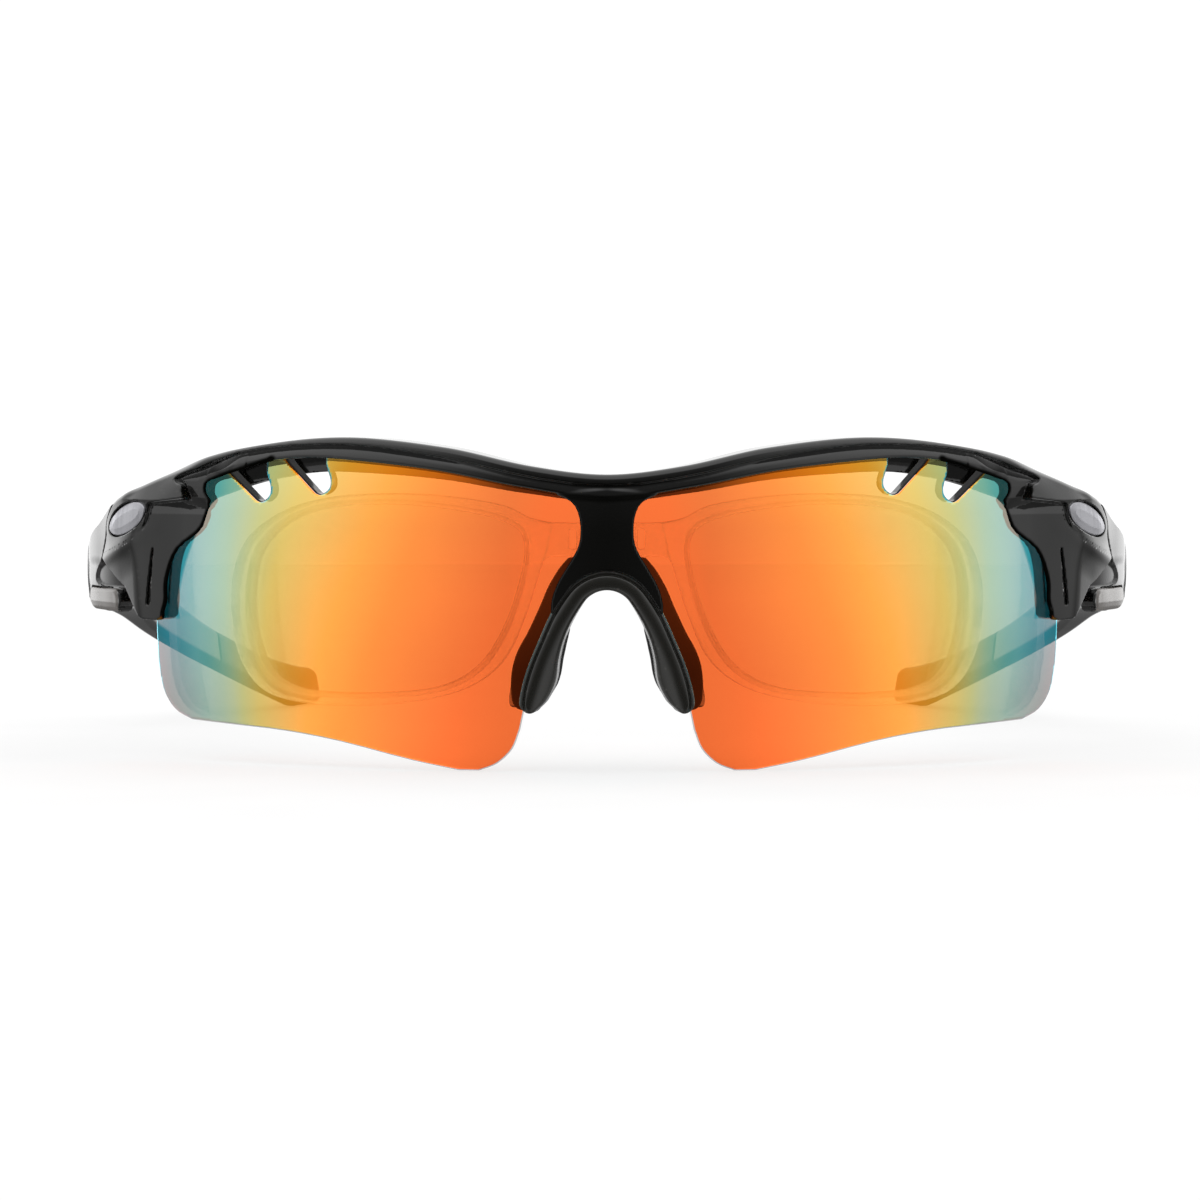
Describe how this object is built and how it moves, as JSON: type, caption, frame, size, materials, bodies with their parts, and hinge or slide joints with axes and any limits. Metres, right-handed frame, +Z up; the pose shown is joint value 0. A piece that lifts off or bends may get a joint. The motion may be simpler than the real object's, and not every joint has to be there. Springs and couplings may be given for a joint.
{
  "type": "sport sunglasses",
  "caption": "Half-rim wraparound sport sunglasses with a mirrored one-piece shield lens, folding temples and a clip-in prescription insert behind the lens.",
  "frame": {"origin": "bottom centre of the open glasses' bounding box, on the table that the lens's lower corners and the temple tips stand on", "axes": "+Z up, +Y from the front back to the temple tips, +X towards the wearer's left"},
  "size_m": [0.1488, 0.1543, 0.0451],
  "materials": {
    "frame_black": "polished moulded nylon",
    "temple_black": "polished moulded nylon",
    "cap_grey": "satin moulded plastic",
    "shield_mirror": "tinted polycarbonate with a thin-film mirror coat that shifts from orange to blue with angle",
    "insert_clear": "clear moulded plastic",
    "insert_lens_clear": "clear blank lens",
    "soft_rubber": "soft matt rubber",
    "badge_silver": "satin blank plate",
    "screw_steel": "turned steel",
    "sleeve_brass": "turned brass"
  },
  "bodies": {
    "front": {"front_frame": "frame_black", "shield_lens": "shield_mirror", "nose_carrier": "frame_black", "nose_pad_left": "soft_rubber", "nose_pad_right": "soft_rubber", "badge_left": "badge_silver", "badge_right": "badge_silver", "hinge_screw_left": "screw_steel", "hinge_screw_right": "screw_steel", "thread_sleeve_left": "sleeve_brass", "thread_sleeve_right": "sleeve_brass"},
    "temple_left": {"temple_arm_left": "temple_black", "temple_tip_left": "soft_rubber", "hinge_cap_left": "cap_grey"},
    "temple_right": {"temple_arm_right": "temple_black", "temple_tip_right": "soft_rubber", "hinge_cap_right": "cap_grey"},
    "insert": {"insert_frame": "insert_clear", "insert_lens_left": "insert_lens_clear", "insert_lens_right": "insert_lens_clear"}
  },
  "joints": [
    {"name": "temple_left_fold", "type": "hinge", "parent": "front", "child": "temple_left", "pos_m": [0.0675, -0.03095, 0.026], "axis": [0, 0, 1], "range_deg": [0, 90]},
    {"name": "temple_right_fold", "type": "hinge", "parent": "front", "child": "temple_right", "pos_m": [-0.0675, -0.03095, 0.026], "axis": [0, 0, -1], "range_deg": [0, 80]},
    {"name": "insert_release", "type": "slide", "parent": "front", "child": "insert", "axis": [0, 1, 0], "range_m": [0, 0.008]}
  ]
}
